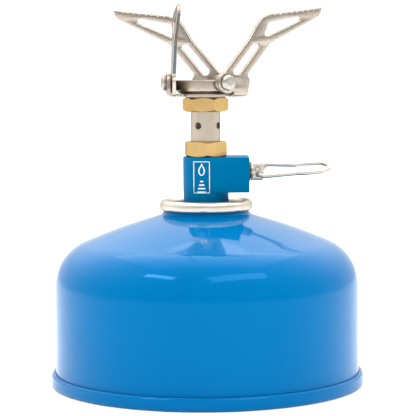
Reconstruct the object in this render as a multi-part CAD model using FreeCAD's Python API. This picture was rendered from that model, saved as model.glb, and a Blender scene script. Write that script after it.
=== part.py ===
import FreeCAD, Part
import math
import os

os.makedirs("parts", exist_ok=True)

V = FreeCAD.Vector
ORIGIN = V(0, 0, 0)
UP = V(0, 0, 1)

# driving dimensions, mm, +Z up, origin at the centre of the canister's foot
# gas canister
RIM_R = 55.0
RIM_H = 4.6
WALL_R = 53.5
SHELL_T = 0.5
SHOULDER_R = 17.0
SHOULDER_Z = 34.4
NECK_R = 15.1
BASE_DOME_Z = 11.5
# crimped valve cup
RING_R = 16.3
RING_Z0 = 61.4
RING_TOP_Z = 64.8
CUP_WALL_R = 12.9
CUP_FLOOR_Z = 58.9
BOSS_R = 5.5
BOSS_TOP_Z = 66.0
STEM_HOLE_R = 1.9
STEM_TOP_Z = 64.65
# valve block
STUB_R = 7.9
STUB_Z0 = 61.2
BLOCK_R = 8.0
BLOCK_X1 = 15.0
BLOCK_Z0 = 67.6
BLOCK_Z1 = 79.9
SOCKET_R = 5.58
SOCKET_TOP_Z = 66.9
# spindle and handle
SPINDLE_Z = 74.7
SPINDLE_R = 2.5
SPINDLE_BORE_R = 2.58
HEAD_R = 3.25
HEAD_X0 = 15.6
HEAD_X1 = 20.2
HEAD_HALF = 2.0
PIVOT_X = 18.0
PIVOT_Z = 73.5
PIN_Z = 75.5
WIRE_R = 0.74
WIRE_HOLE_R = 0.8
# burner column
NUT_AF = 14.0
LOWER_NUT_H = 5.3
LOWER_NUT_TURN = 34.5
UPPER_NUT_Z = 95.6
UPPER_NUT_H = 5.0
UPPER_NUT_TURN = 52.5
TUBE_R = 5.15
TUBE_BORE_R = 4.45
AIR_HOLE_R = 1.2
AIR_HOLE_Z = 90.8
AIR_HOLE_TURN = 59.1
NECK_TUBE_R = 4.9
# burner and pot support bracket
PLATE_Z = 100.9
PLATE_T = 1.0
PLATE_R = 10.6
CUP_R = 10.25
CUP_Z0 = 102.2
CUP_Z1 = 106.6
PIVOT_H = 105.7
ARM_IN = 10.8
ARM_T = 1.3
TAB_IN = 12.5
TAB_T = 1.2
RIVET_R = 1.5
RIVET_HEAD_R = 2.75
EYE_R = 3.6
ROOT_U0 = 2.9
ROOT_U1 = 8.4
BEND_R = 1.5
ARM_TURNS = (33.5, 153.5, 273.5)


def save(name, shape):
    """Write one node as a STEP file."""
    shape = shape.removeSplitter()
    if not shape.isValid():
        print("INVALID", name)
    if len(shape.Solids) != 1:
        print("SOLIDS", name, len(shape.Solids))
    shape.exportStep("parts/" + name + ".step")
    print(name, round(shape.Volume, 2))


def wire(steps, place):
    """Closed wire from steps: a point, or (middle, end) for an arc."""
    first = place(*steps[0])
    here = first
    edges = []
    for step in steps[1:]:
        if isinstance(step[0], tuple):
            end = place(*step[1])
            edges.append(Part.Arc(here, place(*step[0]), end).toShape())
        else:
            end = place(*step)
            edges.append(Part.LineSegment(here, end).toShape())
        here = end
    if here.distanceToPoint(first) > 1e-6:
        edges.append(Part.LineSegment(here, first).toShape())
    return Part.Wire(edges)


def turned(steps):
    """Solid of revolution about Z from steps of (radius, height)."""
    face = Part.Face(wire(steps, lambda r, z: V(r, 0, z)))
    return face.revolve(ORIGIN, UP, 360)


def turned_x(steps, z):
    """Solid of revolution about the +X line at height z, from (x, radius)."""
    face = Part.Face(wire(steps, lambda x, r: V(x, 0, z + r)))
    return face.revolve(V(0, 0, z), V(1, 0, 0), 360)


def slab(steps, depth0, depth1):
    """Flat plate from an outline in (along, height), outward side first."""
    face = Part.Face(wire(steps, lambda s, h: V(s, -depth1, h)))
    return face.extrude(V(0, depth1 - depth0, 0))


def dome_mid(radius, z_edge, z_top):
    """Middle of the arc, centred on the axis, from the rim to the top."""
    rise = z_top - z_edge
    ball = (radius * radius + rise * rise) / (2 * rise)
    half = radius / 2
    drop = abs(ball) - math.sqrt(ball * ball - half * half)
    return (half, z_top - math.copysign(drop, rise))


def tube(r_out, r_in, z0, z1):
    """Plain ring or tube about Z."""
    body = Part.makeCylinder(r_out, z1 - z0, V(0, 0, z0))
    return body.cut(Part.makeCylinder(r_in, z1 - z0 + 2, V(0, 0, z0 - 1)))


def disc_y(radius, depth0, depth1, s=0.0, h=PIVOT_H):
    """Cylinder along the outward direction at (s, h)."""
    return Part.makeCylinder(radius, depth1 - depth0, V(s, -depth1, h), V(0, 1, 0))


def around(shape, turn):
    """Copy of a shape turned about Z."""
    other = shape.copy()
    other.rotate(ORIGIN, UP, turn)
    return other


def hexagon(af, z0, z1, turn, chamfer=0.75):
    """Hexagonal prism with its corners chamfered at both ends."""
    corner = af / 2 / math.cos(math.radians(30))
    points = []
    for k in range(7):
        a = math.radians(60 * k + turn)
        points.append(V(corner * math.cos(a), corner * math.sin(a), z0))
    prism = Part.Face(Part.makePolygon(points)).extrude(V(0, 0, z1 - z0))
    low = af / 2 * 0.97
    big = corner + 0.01
    trim = turned([
        (0, z0),
        (low, z0),
        (big, z0 + chamfer),
        (big, z1 - chamfer),
        (low, z1),
        (0, z1),
    ])
    return prism.common(trim)


def rounded_path(points, radii):
    """Open wire through points, each inner corner rounded by its radius."""
    edges = []
    here = V(*points[0])
    for k in range(1, len(points) - 1):
        p = V(*points[k])
        a = (V(*points[k - 1]) - p).normalize()
        b = (V(*points[k + 1]) - p).normalize()
        half = a.getAngle(b) / 2
        back = radii[k - 1] / math.tan(half)
        start = p + a * back
        end = p + b * back
        bisect = (a + b).normalize()
        centre = p + bisect * (radii[k - 1] / math.sin(half))
        middle = centre - bisect * radii[k - 1]
        edges.append(Part.LineSegment(here, start).toShape())
        edges.append(Part.Arc(start, middle, end).toShape())
        here = end
    edges.append(Part.LineSegment(here, V(*points[-1])).toShape())
    return Part.Wire(edges)


def swept(path, radius):
    """Round wire of the given radius along a path."""
    start = path.Edges[0].valueAt(path.Edges[0].FirstParameter)
    tangent = path.Edges[0].tangentAt(path.Edges[0].FirstParameter)
    ring = Part.Wire(Part.makeCircle(radius, start, tangent))
    return path.makePipeShell([ring], True, True)


def canister_shell():
    """Deep drawn can: straight wall, round shoulder, shallow cone, neck."""
    cx = WALL_R - SHOULDER_R
    a = math.radians(69.5)
    m = math.radians(34.75)
    t = SHELL_T
    inner = SHOULDER_R - t
    top_out = (cx + SHOULDER_R * math.cos(a), SHOULDER_Z + SHOULDER_R * math.sin(a))
    mid_out = (cx + SHOULDER_R * math.cos(m), SHOULDER_Z + SHOULDER_R * math.sin(m))
    top_in = (cx + inner * math.cos(a), SHOULDER_Z + inner * math.sin(a))
    mid_in = (cx + inner * math.cos(m), SHOULDER_Z + inner * math.sin(m))
    return turned([
        (WALL_R, 1.2),
        (WALL_R, SHOULDER_Z),
        (mid_out, top_out),
        ((30.0, 54.98), (18.6, 58.8)),
        (16.12, 59.63),
        ((15.382, 60.175), (NECK_R, 61.05)),
        (NECK_R, 63.2),
        (NECK_R - t, 63.2),
        (NECK_R - t, 61.05),
        ((14.976, 59.883), (15.964, 59.154)),
        (18.4, 58.3),
        ((29.8, 54.5), top_in),
        (mid_in, (WALL_R - t, SHOULDER_Z)),
        (WALL_R - t, 1.2),
    ])


def canister_base():
    """Domed base with the rolled seam that is the canister's foot."""
    return turned([
        (WALL_R + 0.12, RIM_H),
        (RIM_R - 0.6, RIM_H),
        ((RIM_R - 0.18, RIM_H - 0.18), (RIM_R, RIM_H - 0.6)),
        (RIM_R, 0.7),
        ((RIM_R - 0.2, 0.2), (RIM_R - 0.7, 0.0)),
        (52.9, 0.0),
        ((52.4, 0.2), (52.2, 0.7)),
        (52.2, 2.6),
        ((51.73, 3.73), (50.6, 4.2)),
        (dome_mid(50.6, 4.2, BASE_DOME_Z), (0, BASE_DOME_Z)),
        (0, BASE_DOME_Z + 0.6),
        (dome_mid(50.7, 4.85, BASE_DOME_Z + 0.6), (50.7, 4.85)),
        (51.4, 5.2),
        (52.88, 5.2),
        (52.88, 1.0),
        (WALL_R + 0.12, 1.0),
    ])


def valve_cup():
    """Pressed cup: rolled outer ring, well, and the raised threaded boss."""
    return turned([
        (NECK_R + 0.15, RING_Z0),
        (RING_R - 0.25, RING_Z0),
        (RING_R, RING_Z0 + 0.25),
        (RING_R, 63.2),
        ((15.8, 64.35), (14.6, RING_TOP_Z)),
        (14.2, RING_TOP_Z),
        ((13.25, 64.45), (CUP_WALL_R, 63.5)),
        (CUP_WALL_R, 59.7),
        ((12.67, 59.13), (12.1, CUP_FLOOR_Z)),
        (6.3, CUP_FLOOR_Z),
        ((5.73, 59.13), (BOSS_R, 59.7)),
        (BOSS_R, BOSS_TOP_Z - 0.5),
        (BOSS_R - 0.5, BOSS_TOP_Z),
        (STEM_HOLE_R, BOSS_TOP_Z),
        (STEM_HOLE_R, 65.1),
        (4.3, 65.1),
        (4.3, CUP_FLOOR_Z - 0.5),
        (12.3, CUP_FLOOR_Z - 0.5),
        ((13.08, 58.72), (13.4, 59.5)),
        (13.4, 63.4),
        ((13.6, 63.9), (14.1, 64.1)),
        (14.9, 64.1),
        (NECK_R + 0.15, 63.7),
    ])


def cup_gasket():
    """Rubber sleeve between the can's neck and the valve cup."""
    return tube(14.5, 13.45, 60.2, 63.0)


def valve_housing():
    """Plastic cage under the boss that holds the stem and its spring."""
    cage = turned([
        (3.4, 50.6),
        (3.4, 65.0),
        (4.2, 65.0),
        (4.2, 58.3),
        (6.0, 58.3),
        (6.0, 57.3),
        (4.6, 56.6),
        (4.6, 50.4),
        (4.0, 49.8),
        (0.8, 49.8),
        (0.8, 50.6),
    ])
    return cage


def stem_gasket():
    """Flat rubber ring that the stem's collar closes against."""
    return tube(3.3, 1.62, 64.35, 65.0)


def valve_stem():
    """Spring loaded stem with a collar and a blind gas hole."""
    top = STEM_TOP_Z
    return turned([
        (0, 54.0),
        (1.0, 54.0),
        (1.2, 54.2),
        (1.2, 62.0),
        (3.0, 62.0),
        (3.0, 63.1),
        (1.5, 63.3),
        (1.5, top - 0.2),
        (1.3, top),
        (0.5, top),
        (0.5, top - 2.4),
        (0, top - 2.6),
    ])


def valve_spring():
    """Coil spring under the stem's collar, a six-sided wire in flat facets."""
    radius = 2.2
    wire_r = 0.32
    low = 50.6 + wire_r + 0.05
    high = 62.0 - wire_r - 0.05
    turns = 4.75
    stations = 57
    rings = []
    for k in range(stations + 1):
        a = 2 * math.pi * turns * k / stations
        z = low + (high - low) * k / stations
        ring = []
        for j in range(6):
            b = math.pi * j / 3
            r = radius + wire_r * math.cos(b)
            ring.append(V(r * math.cos(a), r * math.sin(a), z + wire_r * math.sin(b)))
        rings.append(ring)
    faces = []
    for k in range(stations):
        for j in range(6):
            p = rings[k][j]
            q = rings[k][(j + 1) % 6]
            r = rings[k + 1][(j + 1) % 6]
            s = rings[k + 1][j]
            faces.append(Part.Face(Part.makePolygon([p, q, r, p])))
            faces.append(Part.Face(Part.makePolygon([p, r, s, p])))
    for ring in (rings[0], rings[-1]):
        faces.append(Part.Face(Part.makePolygon(ring + [ring[0]])))
    shell = Part.makeShell(faces)
    shell.sewShape()
    return Part.makeSolid(Part.Shell(shell.Faces))


def valve_body():
    """Rounded block with a threaded socket, gas ways and the spindle bore."""
    round_end = Part.makeCylinder(BLOCK_R, BLOCK_Z1 - BLOCK_Z0, V(0, 0, BLOCK_Z0))
    arm = Part.makeBox(BLOCK_X1, 2 * BLOCK_R, BLOCK_Z1 - BLOCK_Z0, V(0, -BLOCK_R, BLOCK_Z0))
    block = round_end.fuse(arm).removeSplitter()
    edges = []
    for edge in block.Edges:
        box = edge.BoundBox
        flat = box.ZLength < 1e-6
        end = abs(box.XMin - BLOCK_X1) < 1e-6 and abs(box.XMax - BLOCK_X1) < 1e-6
        if flat or end:
            edges.append(edge)
    block = block.makeChamfer(0.25, edges)
    stub = turned([
        (0, STUB_Z0),
        (STUB_R - 0.4, STUB_Z0),
        (STUB_R, STUB_Z0 + 0.4),
        (STUB_R, BLOCK_Z0 + 1.0),
        (0, BLOCK_Z0 + 1.0),
    ])
    body = block.fuse(stub)
    socket = turned([
        (0, STUB_Z0 - 1),
        (SOCKET_R + 0.7, STUB_Z0 - 1),
        (SOCKET_R + 0.7, STUB_Z0),
        (SOCKET_R, STUB_Z0 + 0.7),
        (SOCKET_R, SOCKET_TOP_Z),
        (1.5, SOCKET_TOP_Z),
        (1.5, 71.2),
        (0.7, 71.2),
        (0.7, SPINDLE_Z),
        (0, SPINDLE_Z),
    ])
    body = body.cut(socket)
    bore = turned_x([
        (0, 0),
        (0, 0.6),
        (4.0, 0.6),
        (4.0, SPINDLE_BORE_R),
        (BLOCK_X1 + 1, SPINDLE_BORE_R),
        (BLOCK_X1 + 1, 0),
    ], SPINDLE_Z)
    body = body.cut(bore)
    start = V(4.9, 0, SPINDLE_Z + 1.0)
    end = V(0.7, 0, 79.0)
    way = end - start
    body = body.cut(Part.makeCylinder(0.7, way.Length, start, way))
    body = body.cut(Part.makeCylinder(3.65, 2, V(0, 0, 78.4)))
    return body


def connector_seal():
    """Rubber ring at the top of the socket, on the canister's boss."""
    return tube(5.2, 3.3, BOSS_TOP_Z + 0.05, SOCKET_TOP_Z - 0.05)


def depressor_pin():
    """Plug with the pin that holds the canister's stem down."""
    plug = turned([
        (0, STEM_TOP_Z + 0.05),
        (0.6, STEM_TOP_Z + 0.05),
        (0.6, 67.2),
        (1.48, 67.2),
        (1.48, 69.8),
        (0, 69.8),
    ])
    side = Part.makeBox(4, 1, 4, V(-2, 0.85, 67.1))
    plug = plug.cut(side)
    return plug.cut(around(side, 180))


def inlet_filter():
    """Sintered disc above the depressor."""
    return Part.makeCylinder(1.47, 1.1, V(0, 0, 69.95))


def lower_nut():
    """Hexagonal jet holder with a spigot into the block."""
    z1 = BLOCK_Z1 + LOWER_NUT_H
    nut = hexagon(NUT_AF, BLOCK_Z1, z1, LOWER_NUT_TURN)
    nut = nut.fuse(Part.makeCylinder(3.6, 1.5, V(0, 0, 78.5)))
    hole = turned([
        (0, 78.0),
        (1.5, 78.0),
        (1.5, 81.5),
        (2.05, 81.5),
        (2.05, 84.0),
        (TUBE_R + 0.05, 84.0),
        (TUBE_R + 0.05, z1 + 1),
        (0, z1 + 1),
    ])
    return nut.cut(hole)


def jet():
    """Small brass jet with a fine orifice."""
    body = Part.makeCylinder(2.0, 2.45, V(0, 0, 81.6))
    head = hexagon(5.0, 84.05, 86.2, 10.0, 0.3)
    nose = Part.makeCone(1.7, 1.1, 0.8, V(0, 0, 86.2))
    hole = turned([
        (0, 81.0),
        (1.1, 81.0),
        (1.1, 85.4),
        (0.2, 86.0),
        (0.2, 88.0),
        (0, 88.0),
    ])
    return body.fuse(head).fuse(nose).cut(hole)


def mixing_tube():
    """Steel tube with four air holes."""
    pipe = tube(TUBE_R, TUBE_BORE_R, 84.05, 97.1)
    for k in range(2):
        hole = Part.makeCylinder(AIR_HOLE_R, 20, V(-10, 0, AIR_HOLE_Z), V(1, 0, 0))
        pipe = pipe.cut(around(hole, AIR_HOLE_TURN + 90 * k))
    return pipe


def upper_nut():
    """Hexagonal nut that clamps the bracket on the mixing tube."""
    z1 = UPPER_NUT_Z + UPPER_NUT_H
    nut = hexagon(NUT_AF, UPPER_NUT_Z, z1, UPPER_NUT_TURN)
    hole = turned([
        (0, UPPER_NUT_Z - 1),
        (TUBE_R + 0.05, UPPER_NUT_Z - 1),
        (TUBE_R + 0.05, 97.2),
        (NECK_TUBE_R + 0.05, 97.2),
        (NECK_TUBE_R + 0.05, z1 + 1),
        (0, z1 + 1),
    ])
    return nut.cut(hole)


def rounded_plate(corners, depth0, depth1):
    """Flat plate from corners of (along, height, radius of rounding)."""
    starts = []
    for k, (x, z, r) in enumerate(corners):
        p = V(x, -depth1, z)
        if r == 0:
            starts.append((p, None, p))
            continue
        before = corners[k - 1]
        after = corners[(k + 1) % len(corners)]
        a = (V(before[0], -depth1, before[1]) - p).normalize()
        b = (V(after[0], -depth1, after[1]) - p).normalize()
        half = a.getAngle(b) / 2
        bisect = (a + b).normalize()
        centre = p + bisect * (r / math.sin(half))
        back = r / math.tan(half)
        starts.append((p + a * back, centre - bisect * r, p + b * back))
    edges = []
    for k, (start, middle, end) in enumerate(starts):
        last = starts[k - 1][2]
        edges.append(Part.LineSegment(last, start).toShape())
        if middle is not None:
            edges.append(Part.Arc(start, middle, end).toShape())
    face = Part.Face(Part.Wire(edges))
    return face.extrude(V(0, depth1 - depth0, 0))


def tab():
    """One upright ear of the bracket, for the turn of zero."""
    c = PIVOT_H
    n0 = TAB_IN
    n1 = TAB_IN + TAB_T
    z0 = PLATE_Z
    z1 = PLATE_Z + PLATE_T
    bend_z = z0 + BEND_R
    ear = rounded_plate([
        (ROOT_U0, bend_z, 0),
        (ROOT_U0, c - 3.0, 0),
        (1.6, c - 3.0, 0),
        (-1.0, c, 0),
        (0.3, c + 3.1, 0),
        (4.6, c + 2.7, 3.0),
        (7.6, c + 1.9, 1.6),
        (8.5, c - 1.4, 3.0),
        (ROOT_U1, bend_z, 0),
    ], n0, n1)
    eye = disc_y(EYE_R, n0, n1)
    q = BEND_R * math.sqrt(0.5)
    section = wire([
        (8.0, z0),
        (n1 - BEND_R, z0),
        ((n1 - BEND_R + q, bend_z - q), (n1, bend_z)),
        (n0, bend_z),
        (n0, z1 + 0.35),
        ((n0 - 0.103, z1 + 0.103), (n0 - 0.35, z1)),
        (8.0, z1),
    ], lambda n, z: V(ROOT_U0, -n, z))
    root = Part.Face(section).extrude(V(ROOT_U1 - ROOT_U0, 0, 0))
    hole = disc_y(RIVET_R + 0.02, TAB_IN - 1, TAB_IN + TAB_T + 1)
    return ear.fuse(eye).fuse(root).cut(hole)


def support_bracket():
    """Round plate with three upright ears for the pot supports."""
    plate = Part.makeCylinder(PLATE_R, PLATE_T, V(0, 0, PLATE_Z))
    for turn in ARM_TURNS:
        plate = plate.fuse(around(tab(), turn))
    hole = Part.makeCylinder(NECK_TUBE_R + 0.05, 4, V(0, 0, PLATE_Z - 2))
    return plate.cut(hole)


def burner_neck():
    """Hollow screw that carries the burner cup."""
    return tube(NECK_TUBE_R, 3.7, 97.3, 104.4)


def bracket_washer():
    """Washer between the upper nut and the bracket."""
    return tube(7.0, NECK_TUBE_R + 0.05, UPPER_NUT_Z + UPPER_NUT_H + 0.02, PLATE_Z - 0.02)


def burner_washer():
    """Washer between the bracket and the burner cup."""
    return tube(8.6, NECK_TUBE_R + 0.05, PLATE_Z + PLATE_T + 0.02, CUP_Z0 - 0.02)


def neck_locknut():
    """Thin nut on the hollow screw, inside the burner cup."""
    nut = hexagon(13.0, CUP_Z0 + 0.65, 104.2, 0.0, 0.3)
    return nut.cut(Part.makeCylinder(NECK_TUBE_R + 0.05, 10, V(0, 0, 100)))


def burner_cup():
    """Shallow round cup of the burner head."""
    t = 0.6
    return turned([
        (NECK_TUBE_R + 0.05, CUP_Z0),
        (CUP_R - 0.9, CUP_Z0),
        ((CUP_R - 0.26, CUP_Z0 + 0.26), (CUP_R, CUP_Z0 + 0.9)),
        (CUP_R, CUP_Z1 - 0.2),
        (CUP_R - 0.2, CUP_Z1),
        (CUP_R - 0.7, CUP_Z1),
        (CUP_R - 0.7, 105.0),
        (CUP_R - 0.7, CUP_Z0 + 1.1),
        (CUP_R - 1.2, CUP_Z0 + t),
        (NECK_TUBE_R + 0.05, CUP_Z0 + t),
    ])


def burner_plate():
    """Perforated flame plate, slightly domed, with a plain centre."""
    edge = CUP_R - 0.75
    plate = turned([
        (0, 106.3),
        (dome_mid(edge, 105.6, 106.3), (edge, 105.6)),
        (edge, 106.2),
        (dome_mid(edge, 106.2, 106.9), (0, 106.9)),
    ])
    holes = []
    for radius, count in ((3.0, 8), (4.7, 14), (6.4, 20), (8.1, 26)):
        for k in range(count):
            a = 2 * math.pi * (k + 0.5 * (count % 4 == 0)) / count
            spot = V(radius * math.cos(a), radius * math.sin(a), 105)
            holes.append(Part.makeCylinder(0.45, 3, spot))
    return plate.cut(Part.Compound(holes))


def gauze():
    """Fine mesh disc under the flame plate."""
    return Part.makeCylinder(CUP_R - 0.8, 0.25, V(0, 0, 105.2))


def rivet():
    """Domed rivet through one ear, for the turn of zero."""
    y0 = -TAB_IN - TAB_T - 0.58
    tail = -ARM_IN + 0.06
    steps = [
        (0, tail + 0.42),
        (2.5, tail + 0.42),
        (2.5, tail),
        (RIVET_R, tail),
        (RIVET_R, y0),
        (RIVET_HEAD_R, y0),
        (RIVET_HEAD_R, y0 - 0.3),
        ((2.1, y0 - 0.93), (0.6, y0 - 1.24)),
        (dome_mid(0.6, y0 - 1.24, y0 - 1.04), (0, y0 - 1.04)),
    ]
    face = Part.Face(wire(steps, lambda r, y: V(r, y, PIVOT_H)))
    return face.revolve(V(0, 0, PIVOT_H), V(0, 1, 0), 360)


def arm_washer():
    """Spring washer between a pot support and its ear."""
    ring = disc_y(3.0, ARM_IN + ARM_T + 0.06, TAB_IN - 0.04)
    return ring.cut(disc_y(RIVET_R + 0.05, 5, 20))


def head_washer():
    """Washer under a rivet's head."""
    ring = disc_y(2.65, TAB_IN + TAB_T + 0.02, TAB_IN + TAB_T + 0.55)
    return ring.cut(disc_y(RIVET_R + 0.05, 5, 20))


def pot_support():
    """Serrated plate arm with a window and a slot, for the turn of zero."""
    c = PIVOT_H
    start = (20.6, 23.8)
    end = (42.2, 26.1)
    count = 8
    edge = []
    for k in range(count):
        a = (k + 0.15) / count
        b = (k + 0.50) / count
        m = (a + b) / 2
        for f, drop in ((a, 0.0), (m - 0.012, 0.5), (m + 0.012, 0.5), (b, 0.0)):
            s = start[0] + (end[0] - 2.0 - start[0]) * f
            h = start[1] + (end[1] - 0.2 - start[1]) * f - drop
            edge.append((s, c + h, 0))
    outline = [
        (-0.5, c + 3.0, 0),
        (-0.906, c + 3.381, 0),
        (0.2, c + 3.72, 1.0),
        (10.6, c + 14.92, 4.0),
        (13.9, c + 20.0, 3.0),
        (16.2, c + 22.5, 2.5),
        (20.0, c + 23.75, 0.4),
    ]
    outline += edge
    outline += [
        (end[0] - 0.3, c + end[1], 0),
        (end[0], c + end[1] - 0.4, 0),
        (41.5, c + 24.1, 1.0),
        (40.2, c + 22.75, 1.5),
        (19.5, c + 13.65, 6.0),
        (9.5, c + 2.6, 1.5),
        (10.65, c + 0.95, 0.8),
        (10.5, c - 0.4, 0),
        (9.75, c - 3.9, 0),
        (9.4, c - 4.4, 0),
        (8.5, c - 4.4, 0),
        (8.5, c - 3.74, 0),
        (1.9, c - 3.74, 0),
        (1.197, c - 3.289, 0),
        (0.0, c, 0),
    ]
    arm = rounded_plate(outline, ARM_IN, ARM_IN + ARM_T)
    arm = arm.fuse(disc_y(3.5, ARM_IN, ARM_IN + ARM_T))
    window = rounded_plate([
        (16.7, c + 16.3, 0.8),
        (18.8, c + 20.8, 1.2),
        (32.7, c + 23.15, 0.8),
        (32.9, c + 21.45, 0.8),
        (18.4, c + 15.9, 0.8),
    ], ARM_IN - 1, ARM_IN + ARM_T + 1)
    slot = rounded_plate([
        (3.5, c + 4.05, 1.0),
        (12.2, c + 13.45, 1.0),
        (16.1, c + 13.45, 1.0),
        (6.2, c + 2.65, 1.0),
        (4.3, c + 2.5, 0.8),
    ], ARM_IN - 1, ARM_IN + ARM_T + 1)
    hole = disc_y(RIVET_R + 0.05, ARM_IN - 1, ARM_IN + ARM_T + 1)
    return arm.cut(window).cut(slot).cut(hole)


def spindle():
    """Needle spindle with a seal groove and a flattened round head."""
    z = SPINDLE_Z
    x0 = HEAD_X0
    shaft = turned_x([
        (2.9, 0),
        (2.9, 0.1),
        (6.0, 1.5),
        (6.2, SPINDLE_R),
        (12.4, SPINDLE_R),
        (12.4, 1.7),
        (13.9, 1.7),
        (13.9, SPINDLE_R),
        (x0 + 1, SPINDLE_R),
        (x0 + 1, 0),
    ], z)
    head = turned_x([
        (x0, 0),
        (x0, HEAD_R - 0.35),
        ((x0 + 0.1, HEAD_R - 0.1), (x0 + 0.35, HEAD_R)),
        (HEAD_X1 - 0.5, HEAD_R),
        (HEAD_X1, HEAD_R - 0.5),
        (HEAD_X1, 0),
    ], z)
    for side in (-1, 1):
        y0 = HEAD_HALF if side > 0 else -HEAD_HALF - 4
        cutter = Part.makeBox(10, 4, 10, V(x0 + 0.75, y0, z - 5))
        head = head.cut(cutter)
    solid = shaft.fuse(head)
    for height, radius in ((PIVOT_Z, WIRE_HOLE_R), (PIN_Z, 0.72)):
        hole = Part.makeCylinder(radius, 10, V(PIVOT_X, -5, height), V(0, 1, 0))
        solid = solid.cut(hole)
    ring = Part.makeCone(1.25, 0.75, 0.5, V(PIVOT_X, -HEAD_HALF - 0.25, PIN_Z), V(0, 1, 0))
    return solid.cut(ring)


def spindle_seal():
    """Rubber ring in the spindle's groove."""
    return Part.makeTorus(2.14, 0.4, V(13.15, 0, SPINDLE_Z), V(1, 0, 0))


def gland_ring():
    """Dark retaining ring round the spindle at the end of the block."""
    ring = Part.makeCylinder(3.5, 0.4, V(BLOCK_X1 + 0.02, 0, SPINDLE_Z), V(1, 0, 0))
    hole = Part.makeCylinder(SPINDLE_BORE_R, 2, V(BLOCK_X1 - 1, 0, SPINDLE_Z), V(1, 0, 0))
    return ring.cut(hole)


def head_pin():
    """Small pin through the spindle's head, above the handle's hole."""
    start = V(PIVOT_X, -HEAD_HALF + 0.02, PIN_Z)
    return Part.makeCylinder(0.7, 2 * HEAD_HALF - 0.04, start, V(0, 1, 0))


def handle():
    """Folding wire handle: two legs, a neck and an oval eye."""
    gap = HEAD_HALF + WIRE_R + 0.08
    x = PIVOT_X
    z = PIVOT_Z
    points = [
        (x, -0.2, z),
        (x, -gap, z),
        (20.6, -gap, z - 0.55),
        (31.5, -gap + 0.1, z + 0.4),
        (35.0, -3.6, z + 0.55),
        (41.0, -3.5, z + 1.05),
        (43.0, -1.6, z + 1.75),
        (43.0, 1.6, z + 2.95),
        (41.0, 3.5, z + 3.55),
        (35.0, 3.6, z + 3.35),
        (31.5, gap - 0.1, z + 3.0),
        (21.6, gap, z + 3.3),
        (x, gap, z),
        (x, 0.2, z),
    ]
    radii = [0.95, 4.0, 2.5, 2.5, 1.6, 1.3, 1.3, 1.6, 2.5, 2.5, 1.6, 0.95]
    return swept(rounded_path(points, radii), WIRE_R)


save("canister_shell", canister_shell())
save("canister_base", canister_base())
save("valve_cup", valve_cup())
save("cup_gasket", cup_gasket())
save("valve_housing", valve_housing())
save("stem_gasket", stem_gasket())
save("valve_stem", valve_stem())
save("valve_spring", valve_spring())
save("valve_body", valve_body())
save("connector_seal", connector_seal())
save("depressor_pin", depressor_pin())
save("inlet_filter", inlet_filter())
save("lower_nut", lower_nut())
save("jet", jet())
save("mixing_tube", mixing_tube())
save("upper_nut", upper_nut())
save("bracket_washer", bracket_washer())
save("support_bracket", support_bracket())
save("burner_neck", burner_neck())
save("burner_washer", burner_washer())
save("neck_locknut", neck_locknut())
save("burner_cup", burner_cup())
save("burner_plate", burner_plate())
save("gauze", gauze())
save("spindle", spindle())
save("spindle_seal", spindle_seal())
save("gland_ring", gland_ring())
save("head_pin", head_pin())
save("handle", handle())
for number, turn in enumerate(ARM_TURNS, 1):
    save("pot_support_" + str(number), around(pot_support(), turn))
    save("rivet_" + str(number), around(rivet(), turn))
    save("arm_washer_" + str(number), around(arm_washer(), turn))
    save("head_washer_" + str(number), around(head_washer(), turn))
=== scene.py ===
import math

import bmesh
import bpy
from mathutils import Matrix, Vector


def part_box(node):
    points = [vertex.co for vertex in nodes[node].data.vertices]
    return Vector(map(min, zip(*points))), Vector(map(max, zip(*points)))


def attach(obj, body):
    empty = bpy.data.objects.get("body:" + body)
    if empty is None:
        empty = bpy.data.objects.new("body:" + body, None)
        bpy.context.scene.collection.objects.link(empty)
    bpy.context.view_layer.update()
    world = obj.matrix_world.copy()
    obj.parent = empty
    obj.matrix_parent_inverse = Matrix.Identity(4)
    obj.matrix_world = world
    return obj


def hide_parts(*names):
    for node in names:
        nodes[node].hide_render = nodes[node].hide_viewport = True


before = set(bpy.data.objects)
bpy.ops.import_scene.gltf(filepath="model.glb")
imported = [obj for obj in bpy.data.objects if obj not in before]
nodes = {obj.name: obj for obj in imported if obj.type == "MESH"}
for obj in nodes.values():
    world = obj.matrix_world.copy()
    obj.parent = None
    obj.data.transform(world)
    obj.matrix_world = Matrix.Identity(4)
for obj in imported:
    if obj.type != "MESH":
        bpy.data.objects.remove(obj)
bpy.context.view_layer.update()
scene = bpy.context.scene

# Lengths are in mm and angles in degrees unless a comment says otherwise; Blender's own are in metres.
MM = 0.001


def levels(node):
    """Lowest and highest points of a CAD node."""
    low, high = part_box(node)
    return round(low.z / MM, 2), round(high.z / MM, 2)


def middle(node):
    """Height of a CAD node's centre."""
    return round(sum(levels(node)) / 2, 2)


# ---------------------------------------------------------------- shapes

def rounded(points, closed=True, steps=5):
    """Outline from (x, y) or (x, y, radius) points: corners with a radius become arcs."""
    straight = 1.565  # radians: half the angle at a corner too flat to round
    out = []
    count = len(points)
    for i, point in enumerate(points):
        radius = point[2] if len(point) > 2 else 0.0
        here = Vector(point[:2])
        if radius <= 0 or (not closed and i in (0, count - 1)):
            out.append(tuple(point[:2]))
            continue
        before = Vector(points[i - 1][:2]) - here
        after = Vector(points[(i + 1) % count][:2]) - here
        half = before.angle(after) / 2
        if half > straight:
            out.append(tuple(point[:2]))
            continue
        back = min(radius / math.tan(half), 0.49 * min(before.length, after.length))
        before.normalize()
        after.normalize()
        centre = here + (before + after).normalized() * back / math.cos(half)
        start = here + before * back - centre
        turn = start.angle_signed(here + after * back - centre)
        parts = max(2, int(steps * abs(turn) / 1.2) + 1)
        for k in range(parts + 1):
            spoke = start.copy()
            spoke.rotate(Matrix.Rotation(-turn * k / parts, 2))
            out.append(tuple(centre + spoke))
    return out


def polar(radius, degrees):
    """Point at a distance and an angle from the origin."""
    return (radius * math.cos(math.radians(degrees)), radius * math.sin(math.radians(degrees)))


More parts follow.
